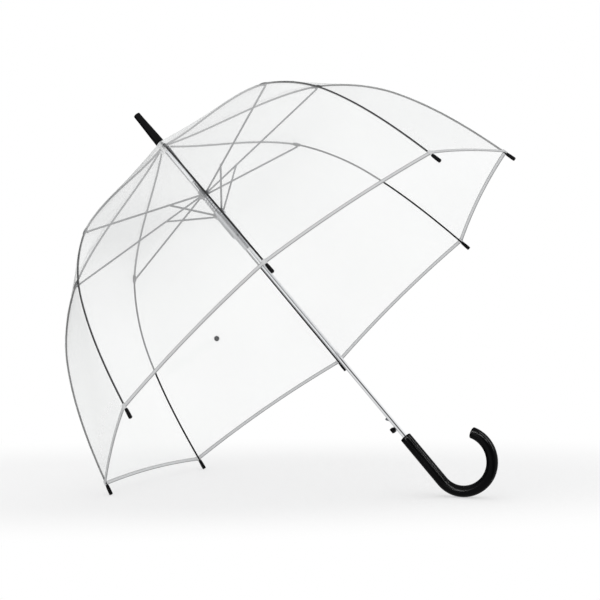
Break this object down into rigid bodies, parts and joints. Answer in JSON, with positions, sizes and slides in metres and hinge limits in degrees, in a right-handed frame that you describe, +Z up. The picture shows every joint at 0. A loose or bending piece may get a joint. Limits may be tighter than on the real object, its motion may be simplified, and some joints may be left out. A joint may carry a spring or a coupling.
{
  "type": "dome umbrella",
  "caption": "Clear dome stick umbrella, open: bright shaft, black crook handle, hinged ribs with stretchers and struts, sliding hub and runner, push-button catch, grey hem.",
  "frame": {"origin": "centre of the bounding box's base, on the surface that the open umbrella lies on", "axes": "+Z up; the shaft lies in the XZ plane and falls towards +X, where the handle is; the umbrella is symmetrical about the XZ plane apart from its side-set stretchers, strap and release"},
  "size_m": [0.7498, 0.8358, 0.6987],
  "materials": {
    "shaft_steel": "bright chromed steel tube",
    "rib_steel": "black oxide steel and composite rod",
    "link_steel": "zinc-plated pressed steel channel",
    "spring_steel": "bright spring steel",
    "black_plastic": "black moulding, satin to gloss",
    "handle_plastic": "black crook with a soft gloss",
    "grey_plastic": "grey nylon moulding",
    "clear_plastic": "translucent clear moulding",
    "clear_film": "clear soft vinyl film, glossy"
  },
  "bodies": {
    "root": {"shaft_tube": "shaft_steel", "ferrule": "black_plastic", "crown_cap": "clear_plastic", "top_notch": "black_plastic", "handle": "handle_plastic", "canopy": "clear_film"},
    "hub": {"upper_hub": "grey_plastic"},
    "runner": {"runner": "grey_plastic", "opening_spring": "spring_steel"},
    "catch": {"runner_catch": "spring_steel"},
    "button": {"release_button": "black_plastic"},
    "upper_a": {"rib_upper_a": "rib_steel"},
    "middle_a": {"rib_middle_a": "rib_steel"},
    "lower_a": {"rib_lower_a": "rib_steel", "rib_tip_a": "black_plastic"},
    "stretcher_a": {"stretcher_a": "link_steel"},
    "strut_a": {"strut_a": "link_steel"},
    "upper_b": {"rib_upper_b": "rib_steel"},
    "middle_b": {"rib_middle_b": "rib_steel"},
    "lower_b": {"rib_lower_b": "rib_steel", "rib_tip_b": "black_plastic"},
    "stretcher_b": {"stretcher_b": "link_steel"},
    "strut_b": {"strut_b": "link_steel"},
    "upper_c": {"rib_upper_c": "rib_steel"},
    "middle_c": {"rib_middle_c": "rib_steel"},
    "lower_c": {"rib_lower_c": "rib_steel", "rib_tip_c": "black_plastic"},
    "stretcher_c": {"stretcher_c": "link_steel"},
    "strut_c": {"strut_c": "link_steel"},
    "upper_d": {"rib_upper_d": "rib_steel"},
    "middle_d": {"rib_middle_d": "rib_steel"},
    "lower_d": {"rib_lower_d": "rib_steel", "rib_tip_d": "black_plastic"},
    "stretcher_d": {"stretcher_d": "link_steel"},
    "strut_d": {"strut_d": "link_steel"},
    "upper_e": {"rib_upper_e": "rib_steel"},
    "middle_e": {"rib_middle_e": "rib_steel"},
    "lower_e": {"rib_lower_e": "rib_steel", "rib_tip_e": "black_plastic"},
    "stretcher_e": {"stretcher_e": "link_steel"},
    "strut_e": {"strut_e": "link_steel"},
    "upper_f": {"rib_upper_f": "rib_steel"},
    "middle_f": {"rib_middle_f": "rib_steel"},
    "lower_f": {"rib_lower_f": "rib_steel", "rib_tip_f": "black_plastic"},
    "stretcher_f": {"stretcher_f": "link_steel"},
    "strut_f": {"strut_f": "link_steel"},
    "upper_g": {"rib_upper_g": "rib_steel"},
    "middle_g": {"rib_middle_g": "rib_steel"},
    "lower_g": {"rib_lower_g": "rib_steel", "rib_tip_g": "black_plastic"},
    "stretcher_g": {"stretcher_g": "link_steel"},
    "strut_g": {"strut_g": "link_steel"},
    "upper_h": {"rib_upper_h": "rib_steel"},
    "middle_h": {"rib_middle_h": "rib_steel"},
    "lower_h": {"rib_lower_h": "rib_steel", "rib_tip_h": "black_plastic", "tie_strap": "clear_film"},
    "stretcher_h": {"stretcher_h": "link_steel"},
    "strut_h": {"strut_h": "link_steel"}
  },
  "joints": [
    {"name": "runner_slide", "type": "slide", "parent": "root", "child": "runner", "axis": [0.6744, 0, -0.7383], "range_m": [0, 0.39758], "stiffness_N_per_m": 60, "springref_m": -0.3, "deforming": ["canopy", "opening_spring"]},
    {"name": "hub_slide", "type": "slide", "parent": "root", "child": "hub", "axis": [0.6744, 0, -0.7383], "range_m": [0, 0.42835]},
    {"name": "rib_a_crown", "type": "hinge", "parent": "root", "child": "upper_a", "pos_m": [-0.24749, -0.00306, 0.58717], "axis": [0.2825, -0.9239, 0.2581], "range_deg": [0, 65.76]},
    {"name": "rib_a_bend", "type": "hinge", "parent": "upper_a", "child": "middle_a", "pos_m": [-0.36621, -0.10447, 0.35412], "axis": [0.2825, -0.9239, 0.2581], "range_deg": [-26.49, 0]},
    {"name": "rib_a_flex", "type": "hinge", "parent": "middle_a", "child": "lower_a", "pos_m": [-0.36491, -0.14044, 0.22393], "axis": [0.2825, -0.9239, 0.2581], "range_deg": [-21.64, 0]},
    {"name": "stretcher_a_hinge", "type": "hinge", "parent": "hub", "child": "stretcher_a", "pos_m": [-0.16993, -0.00577, 0.50457], "axis": [0.2825, -0.9239, 0.2581], "range_deg": [-81.44, 0]},
    {"name": "strut_a_hinge", "type": "hinge", "parent": "runner", "child": "strut_a", "pos_m": [-0.14169, -0.0036, 0.46942], "axis": [0.2825, -0.9239, 0.2581], "range_deg": [-51.59, 0]},
    {"name": "rib_b_crown", "type": "hinge", "parent": "root", "child": "upper_b", "pos_m": [-0.2443, -0.00739, 0.59009], "axis": [0.6821, -0.3827, 0.6231], "range_deg": [0, 65.76]},
    {"name": "rib_b_bend", "type": "hinge", "parent": "upper_b", "child": "middle_b", "pos_m": [-0.25712, -0.25222, 0.45377], "axis": [0.6821, -0.3827, 0.6231], "range_deg": [-26.49, 0]},
    {"name": "rib_b_flex", "type": "hinge", "parent": "middle_b", "child": "lower_b", "pos_m": [-0.21826, -0.33906, 0.35789], "axis": [0.6821, -0.3827, 0.6231], "range_deg": [-21.64, 0]},
    {"name": "stretcher_b_hinge", "type": "hinge", "parent": "hub", "child": "stretcher_b", "pos_m": [-0.16566, -0.00821, 0.50847], "axis": [0.6821, -0.3827, 0.6231], "range_deg": [-81.44, 0]},
    {"name": "strut_b_hinge", "type": "hinge", "parent": "runner", "child": "strut_b", "pos_m": [-0.13793, -0.00868, 0.47285], "axis": [0.6821, -0.3827, 0.6231], "range_deg": [-51.59, 0]},
    {"name": "rib_c_crown", "type": "hinge", "parent": "root", "child": "upper_c", "pos_m": [-0.23978, -0.00739, 0.59422], "axis": [0.6821, 0.3827, 0.6231], "range_deg": [0, 65.76]},
    {"name": "rib_c_bend", "type": "hinge", "parent": "upper_c", "child": "middle_c", "pos_m": [-0.10285, -0.25222, 0.59469], "axis": [0.6821, 0.3827, 0.6231], "range_deg": [-26.49, 0]},
    {"name": "rib_c_flex", "type": "hinge", "parent": "middle_c", "child": "lower_c", "pos_m": [-0.01087, -0.33906, 0.54733], "axis": [0.6821, 0.3827, 0.6231], "range_deg": [-21.64, 0]},
    {"name": "stretcher_c_hinge", "type": "hinge", "parent": "hub", "child": "stretcher_c", "pos_m": [-0.16136, -0.00583, 0.51239], "axis": [0.6821, 0.3827, 0.6231], "range_deg": [-81.44, 0]},
    {"name": "strut_c_hinge", "type": "hinge", "parent": "runner", "child": "strut_c", "pos_m": [-0.13262, -0.00868, 0.4777], "axis": [0.6821, 0.3827, 0.6231], "range_deg": [-51.59, 0]},
    {"name": "rib_d_crown", "type": "hinge", "parent": "root", "child": "upper_d", "pos_m": [-0.23658, -0.00306, 0.59714], "axis": [0.2825, 0.9239, 0.2581], "range_deg": [0, 65.76]},
    {"name": "rib_d_bend", "type": "hinge", "parent": "upper_d", "child": "middle_d", "pos_m": [0.00623, -0.10447, 0.69433], "axis": [0.2825, 0.9239, 0.2581], "range_deg": [-26.49, 0]},
    {"name": "rib_d_flex", "type": "hinge", "parent": "middle_d", "child": "lower_d", "pos_m": [0.13578, -0.14044, 0.68128], "axis": [0.2825, 0.9239, 0.2581], "range_deg": [-21.64, 0]},
    {"name": "stretcher_d_hinge", "type": "hinge", "parent": "hub", "child": "stretcher_d", "pos_m": [-0.15956, -0.00004, 0.51404], "axis": [0.2825, 0.9239, 0.2581], "range_deg": [-81.44, 0]},
    {"name": "strut_d_hinge", "type": "hinge", "parent": "runner", "child": "strut_d", "pos_m": [-0.12886, -0.0036, 0.48113], "axis": [0.2825, 0.9239, 0.2581], "range_deg": [-51.59, 0]},
    {"name": "rib_e_crown", "type": "hinge", "parent": "root", "child": "upper_e", "pos_m": [-0.23658, 0.00306, 0.59714], "axis": [-0.2825, 0.9239, -0.2581], "range_deg": [0, 65.76]},
    {"name": "rib_e_bend", "type": "hinge", "parent": "upper_e", "child": "middle_e", "pos_m": [0.00623, 0.10447, 0.69433], "axis": [-0.2825, 0.9239, -0.2581], "range_deg": [-26.49, 0]},
    {"name": "rib_e_flex", "type": "hinge", "parent": "middle_e", "child": "lower_e", "pos_m": [0.13578, 0.14044, 0.68128], "axis": [-0.2825, 0.9239, -0.2581], "range_deg": [-21.64, 0]},
    {"name": "stretcher_e_hinge", "type": "hinge", "parent": "hub", "child": "stretcher_e", "pos_m": [-0.16131, 0.00577, 0.51244], "axis": [-0.2825, 0.9239, -0.2581], "range_deg": [-81.44, 0]},
    {"name": "strut_e_hinge", "type": "hinge", "parent": "runner", "child": "strut_e", "pos_m": [-0.12886, 0.0036, 0.48113], "axis": [-0.2825, 0.9239, -0.2581], "range_deg": [-51.59, 0]},
    {"name": "rib_f_crown", "type": "hinge", "parent": "root", "child": "upper_f", "pos_m": [-0.23978, 0.00739, 0.59422], "axis": [-0.6821, 0.3827, -0.6231], "range_deg": [0, 65.76]},
    {"name": "rib_f_bend", "type": "hinge", "parent": "upper_f", "child": "middle_f", "pos_m": [-0.10285, 0.25222, 0.59469], "axis": [-0.6821, 0.3827, -0.6231], "range_deg": [-26.49, 0]},
    {"name": "rib_f_flex", "type": "hinge", "parent": "middle_f", "child": "lower_f", "pos_m": [-0.01087, 0.33906, 0.54733], "axis": [-0.6821, 0.3827, -0.6231], "range_deg": [-21.64, 0]},
    {"name": "stretcher_f_hinge", "type": "hinge", "parent": "hub", "child": "stretcher_f", "pos_m": [-0.16559, 0.00821, 0.50853], "axis": [-0.6821, 0.3827, -0.6231], "range_deg": [-81.44, 0]},
    {"name": "strut_f_hinge", "type": "hinge", "parent": "runner", "child": "strut_f", "pos_m": [-0.13262, 0.00868, 0.4777], "axis": [-0.6821, 0.3827, -0.6231], "range_deg": [-51.59, 0]},
    {"name": "rib_g_crown", "type": "hinge", "parent": "root", "child": "upper_g", "pos_m": [-0.2443, 0.00739, 0.59009], "axis": [-0.6821, -0.3827, -0.6231], "range_deg": [0, 65.76]},
    {"name": "rib_g_bend", "type": "hinge", "parent": "upper_g", "child": "middle_g", "pos_m": [-0.25712, 0.25222, 0.45377], "axis": [-0.6821, -0.3827, -0.6231], "range_deg": [-26.49, 0]},
    {"name": "rib_g_flex", "type": "hinge", "parent": "middle_g", "child": "lower_g", "pos_m": [-0.21826, 0.33906, 0.35789], "axis": [-0.6821, -0.3827, -0.6231], "range_deg": [-21.64, 0]},
    {"name": "stretcher_g_hinge", "type": "hinge", "parent": "hub", "child": "stretcher_g", "pos_m": [-0.16989, 0.00583, 0.50461], "axis": [-0.6821, -0.3827, -0.6231], "range_deg": [-81.44, 0]},
    {"name": "strut_g_hinge", "type": "hinge", "parent": "runner", "child": "strut_g", "pos_m": [-0.13793, 0.00868, 0.47285], "axis": [-0.6821, -0.3827, -0.6231], "range_deg": [-51.59, 0]},
    {"name": "rib_h_crown", "type": "hinge", "parent": "root", "child": "upper_h", "pos_m": [-0.24749, 0.00306, 0.58717], "axis": [-0.2825, -0.9239, -0.2581], "range_deg": [0, 65.76]},
    {"name": "rib_h_bend", "type": "hinge", "parent": "upper_h", "child": "middle_h", "pos_m": [-0.36621, 0.10447, 0.35412], "axis": [-0.2825, -0.9239, -0.2581], "range_deg": [-26.49, 0]},
    {"name": "rib_h_flex", "type": "hinge", "parent": "middle_h", "child": "lower_h", "pos_m": [-0.36491, 0.14044, 0.22393], "axis": [-0.2825, -0.9239, -0.2581], "range_deg": [-21.64, 0], "deforming": ["tie_strap"]},
    {"name": "stretcher_h_hinge", "type": "hinge", "parent": "hub", "child": "stretcher_h", "pos_m": [-0.17168, 0.00004, 0.50296], "axis": [-0.2825, -0.9239, -0.2581], "range_deg": [-81.44, 0]},
    {"name": "strut_h_hinge", "type": "hinge", "parent": "runner", "child": "strut_h", "pos_m": [-0.14169, 0.0036, 0.46942], "axis": [-0.2825, -0.9239, -0.2581], "range_deg": [-51.59, 0]},
    {"name": "button_press", "type": "slide", "parent": "root", "child": "button", "axis": [0.7383, 0, 0.6744], "range_m": [0, 0.002], "stiffness_N_per_m": 400, "springref_m": -0.002},
    {"name": "catch_hinge", "type": "hinge", "parent": "root", "child": "catch", "pos_m": [0.22334, 0, 0.08001], "axis": [0, 1, 0], "range_deg": [0, 2.62]}
  ],
  "couplings": [
    {"joint": "hub_slide", "follows": "runner_slide", "ratio": 1.0773},
    {"joint": "rib_a_crown", "follows": "runner_slide", "rad_per_m": 2.886},
    {"joint": "rib_a_bend", "follows": "runner_slide", "rad_per_m": -1.1619},
    {"joint": "rib_a_flex", "follows": "runner_slide", "rad_per_m": -0.94913},
    {"joint": "stretcher_a_hinge", "follows": "runner_slide", "rad_per_m": -3.5744},
    {"joint": "strut_a_hinge", "follows": "runner_slide", "rad_per_m": -2.2638},
    {"joint": "rib_b_crown", "follows": "runner_slide", "rad_per_m": 2.886},
    {"joint": "rib_b_bend", "follows": "runner_slide", "rad_per_m": -1.1619},
    {"joint": "rib_b_flex", "follows": "runner_slide", "rad_per_m": -0.94913},
    {"joint": "stretcher_b_hinge", "follows": "runner_slide", "rad_per_m": -3.5744},
    {"joint": "strut_b_hinge", "follows": "runner_slide", "rad_per_m": -2.2638},
    {"joint": "rib_c_crown", "follows": "runner_slide", "rad_per_m": 2.886},
    {"joint": "rib_c_bend", "follows": "runner_slide", "rad_per_m": -1.1619},
    {"joint": "rib_c_flex", "follows": "runner_slide", "rad_per_m": -0.94913},
    {"joint": "stretcher_c_hinge", "follows": "runner_slide", "rad_per_m": -3.5744},
    {"joint": "strut_c_hinge", "follows": "runner_slide", "rad_per_m": -2.2638},
    {"joint": "rib_d_crown", "follows": "runner_slide", "rad_per_m": 2.886},
    {"joint": "rib_d_bend", "follows": "runner_slide", "rad_per_m": -1.1619},
    {"joint": "rib_d_flex", "follows": "runner_slide", "rad_per_m": -0.94913},
    {"joint": "stretcher_d_hinge", "follows": "runner_slide", "rad_per_m": -3.5744},
    {"joint": "strut_d_hinge", "follows": "runner_slide", "rad_per_m": -2.2638},
    {"joint": "rib_e_crown", "follows": "runner_slide", "rad_per_m": 2.886},
    {"joint": "rib_e_bend", "follows": "runner_slide", "rad_per_m": -1.1619},
    {"joint": "rib_e_flex", "follows": "runner_slide", "rad_per_m": -0.94913},
    {"joint": "stretcher_e_hinge", "follows": "runner_slide", "rad_per_m": -3.5744},
    {"joint": "strut_e_hinge", "follows": "runner_slide", "rad_per_m": -2.2638},
    {"joint": "rib_f_crown", "follows": "runner_slide", "rad_per_m": 2.886},
    {"joint": "rib_f_bend", "follows": "runner_slide", "rad_per_m": -1.1619},
    {"joint": "rib_f_flex", "follows": "runner_slide", "rad_per_m": -0.94913},
    {"joint": "stretcher_f_hinge", "follows": "runner_slide", "rad_per_m": -3.5744},
    {"joint": "strut_f_hinge", "follows": "runner_slide", "rad_per_m": -2.2638},
    {"joint": "rib_g_crown", "follows": "runner_slide", "rad_per_m": 2.886},
    {"joint": "rib_g_bend", "follows": "runner_slide", "rad_per_m": -1.1619},
    {"joint": "rib_g_flex", "follows": "runner_slide", "rad_per_m": -0.94913},
    {"joint": "stretcher_g_hinge", "follows": "runner_slide", "rad_per_m": -3.5744},
    {"joint": "strut_g_hinge", "follows": "runner_slide", "rad_per_m": -2.2638},
    {"joint": "rib_h_crown", "follows": "runner_slide", "rad_per_m": 2.886},
    {"joint": "rib_h_bend", "follows": "runner_slide", "rad_per_m": -1.1619},
    {"joint": "rib_h_flex", "follows": "runner_slide", "rad_per_m": -0.94913},
    {"joint": "stretcher_h_hinge", "follows": "runner_slide", "rad_per_m": -3.5744},
    {"joint": "strut_h_hinge", "follows": "runner_slide", "rad_per_m": -2.2638},
    {"joint": "catch_hinge", "follows": "button_press", "rad_per_m": 22.472}
  ]
}
